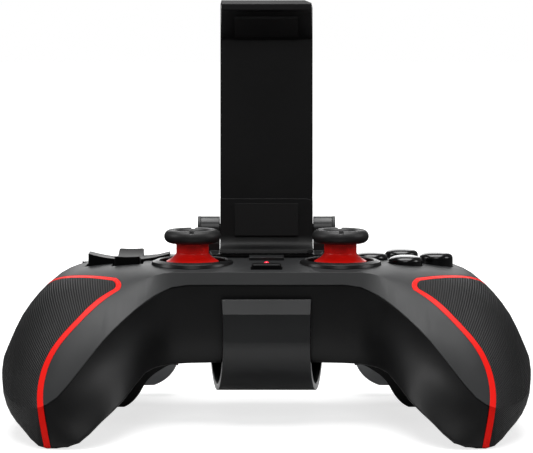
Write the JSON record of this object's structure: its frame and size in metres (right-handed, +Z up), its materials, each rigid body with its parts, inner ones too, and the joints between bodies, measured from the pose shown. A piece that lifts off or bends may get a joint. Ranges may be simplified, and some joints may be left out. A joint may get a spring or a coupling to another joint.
{
  "type": "mobile game controller",
  "caption": "Handheld game controller with two sticks, directional pad, round buttons, bumpers, triggers and a clip-on tilting phone clamp.",
  "frame": {"origin": "middle of the bounding box on the surface that the grips rest on", "axes": "+X to the player's right, +Y away from the player, +Z up"},
  "size_m": [0.1608, 0.1031, 0.1303],
  "materials": {
    "black_plastic": "satin moulded",
    "grey_plastic": "satin painted",
    "grip_rubber": "fine ridges",
    "red_plastic": "satin",
    "black_rubber": "matte",
    "button_plastic": "gloss",
    "inner_plastic": "moulded",
    "membrane_rubber": "matte",
    "steel": "bright",
    "board": "solder mask",
    "battery_skin": "film",
    "lamp": "clear red"
  },
  "bodies": {
    "controller": {"upper_housing": "grey_plastic", "lower_housing": "black_plastic", "left_grip_pad": "grip_rubber", "right_grip_pad": "grip_rubber", "left_trim_strip": "red_plastic", "right_trim_strip": "red_plastic", "housing_screws": "steel", "main_board": "board", "battery": "battery_skin", "usb_socket": "steel", "left_stick_ring": "black_plastic", "right_stick_ring": "black_plastic", "left_stick_module": "inner_plastic", "right_stick_module": "inner_plastic", "dpad_membrane": "membrane_rubber", "button_membrane": "membrane_rubber", "signal_lamp": "lamp", "left_shoulder_fin": "black_plastic", "right_shoulder_fin": "black_plastic", "left_trigger_pin": "steel", "right_trigger_pin": "steel", "clip_body": "grey_plastic", "hinge_pin": "steel"},
    "left_stick_frame": {"left_gimbal_frame": "inner_plastic"},
    "left_stick_yoke": {"left_gimbal_yoke": "inner_plastic"},
    "left_stick": {"left_stick_stem": "red_plastic", "left_stick_cap": "black_rubber"},
    "right_stick_frame": {"right_gimbal_frame": "inner_plastic"},
    "right_stick_yoke": {"right_gimbal_yoke": "inner_plastic"},
    "right_stick": {"right_stick_stem": "red_plastic", "right_stick_cap": "black_rubber"},
    "dpad_pivot": {"dpad_pivot": "inner_plastic"},
    "dpad": {"dpad": "button_plastic"},
    "button_near": {"button_near": "button_plastic"},
    "button_outer": {"button_outer": "button_plastic"},
    "button_far": {"button_far": "button_plastic"},
    "button_inner": {"button_inner": "button_plastic"},
    "home_button": {"home_button": "button_plastic"},
    "select_button": {"select_button": "button_plastic"},
    "start_button": {"start_button": "button_plastic"},
    "left_bumper": {"left_bumper": "black_plastic"},
    "right_bumper": {"right_bumper": "black_plastic"},
    "left_trigger": {"left_trigger": "grey_plastic"},
    "right_trigger": {"right_trigger": "grey_plastic"},
    "clamp": {"clamp_base": "black_plastic", "lower_jaw_pad": "black_rubber"},
    "slider": {"slider": "black_plastic", "upper_jaw": "black_plastic", "upper_jaw_pad": "black_rubber"}
  },
  "joints": [
    {"name": "left_stick_click", "type": "slide", "parent": "controller", "child": "left_stick_frame", "axis": [0, 0, -1], "range_m": [0, 0.0005], "stiffness_N_per_m": 3000, "springref_m": -0.0003},
    {"name": "left_stick_pitch", "type": "hinge", "parent": "left_stick_frame", "child": "left_stick_yoke", "pos_m": [-0.0232, 0.0079, 0.041], "axis": [1, 0, 0], "range_deg": [-15, 15], "stiffness_Nm_per_rad": 0.06},
    {"name": "left_stick_roll", "type": "hinge", "parent": "left_stick_yoke", "child": "left_stick", "pos_m": [-0.0232, 0.0079, 0.041], "axis": [0, 1, 0], "range_deg": [-15, 15], "stiffness_Nm_per_rad": 0.06},
    {"name": "right_stick_click", "type": "slide", "parent": "controller", "child": "right_stick_frame", "axis": [0, 0, -1], "range_m": [0, 0.0005], "stiffness_N_per_m": 3000, "springref_m": -0.0003},
    {"name": "right_stick_pitch", "type": "hinge", "parent": "right_stick_frame", "child": "right_stick_yoke", "pos_m": [0.0232, 0.0079, 0.041], "axis": [1, 0, 0], "range_deg": [-15, 15], "stiffness_Nm_per_rad": 0.06},
    {"name": "right_stick_roll", "type": "hinge", "parent": "right_stick_yoke", "child": "right_stick", "pos_m": [0.0232, 0.0079, 0.041], "axis": [0, 1, 0], "range_deg": [-15, 15], "stiffness_Nm_per_rad": 0.06},
    {"name": "dpad_pitch", "type": "hinge", "parent": "controller", "child": "dpad_pivot", "pos_m": [-0.044, 0.0244, 0.0404], "axis": [1, 0, 0], "range_deg": [-4, 4], "stiffness_Nm_per_rad": 0.3},
    {"name": "dpad_roll", "type": "hinge", "parent": "dpad_pivot", "child": "dpad", "pos_m": [-0.044, 0.0244, 0.0404], "axis": [0, 1, 0], "range_deg": [-4, 4], "stiffness_Nm_per_rad": 0.3},
    {"name": "button_near_press", "type": "slide", "parent": "controller", "child": "button_near", "axis": [0, 0, -1], "range_m": [0, 0.0012], "stiffness_N_per_m": 400, "springref_m": -0.0005},
    {"name": "button_outer_press", "type": "slide", "parent": "controller", "child": "button_outer", "axis": [0, 0, -1], "range_m": [0, 0.0012], "stiffness_N_per_m": 400, "springref_m": -0.0005},
    {"name": "button_far_press", "type": "slide", "parent": "controller", "child": "button_far", "axis": [0, 0, -1], "range_m": [0, 0.0012], "stiffness_N_per_m": 400, "springref_m": -0.0005},
    {"name": "button_inner_press", "type": "slide", "parent": "controller", "child": "button_inner", "axis": [0, 0, -1], "range_m": [0, 0.0012], "stiffness_N_per_m": 400, "springref_m": -0.0005},
    {"name": "home_button_press", "type": "slide", "parent": "controller", "child": "home_button", "axis": [0, 0, -1], "range_m": [0, 0.0006], "stiffness_N_per_m": 500, "springref_m": -0.0004},
    {"name": "select_button_press", "type": "slide", "parent": "controller", "child": "select_button", "axis": [0, 0, -1], "range_m": [0, 0.0006], "stiffness_N_per_m": 500, "springref_m": -0.0004},
    {"name": "start_button_press", "type": "slide", "parent": "controller", "child": "start_button", "axis": [0, 0, -1], "range_m": [0, 0.0006], "stiffness_N_per_m": 500, "springref_m": -0.0004},
    {"name": "left_bumper_press", "type": "slide", "parent": "controller", "child": "left_bumper", "axis": [0, -1, 0], "range_m": [0, 0.001], "stiffness_N_per_m": 800, "springref_m": -0.0005},
    {"name": "right_bumper_press", "type": "slide", "parent": "controller", "child": "right_bumper", "axis": [0, -1, 0], "range_m": [0, 0.001], "stiffness_N_per_m": 800, "springref_m": -0.0005},
    {"name": "left_trigger_pull", "type": "hinge", "parent": "controller", "child": "left_trigger", "pos_m": [-0.045, 0.0453, 0.0324], "axis": [-1, 0, 0], "range_deg": [0, 16], "stiffness_Nm_per_rad": 0.15, "springref_deg": -11.46},
    {"name": "right_trigger_pull", "type": "hinge", "parent": "controller", "child": "right_trigger", "pos_m": [0.045, 0.0453, 0.0324], "axis": [-1, 0, 0], "range_deg": [0, 16], "stiffness_Nm_per_rad": 0.15, "springref_deg": -11.46},
    {"name": "clamp_tilt", "type": "hinge", "parent": "controller", "child": "clamp", "pos_m": [0, 0.0409, 0.0557], "axis": [-1, 0, 0], "range_deg": [0, 60]},
    {"name": "slider_pull", "type": "slide", "parent": "clamp", "child": "slider", "axis": [0, 0.1045, 0.9945], "range_m": [0, 0.022], "stiffness_N_per_m": 300, "springref_m": -0.006}
  ]
}
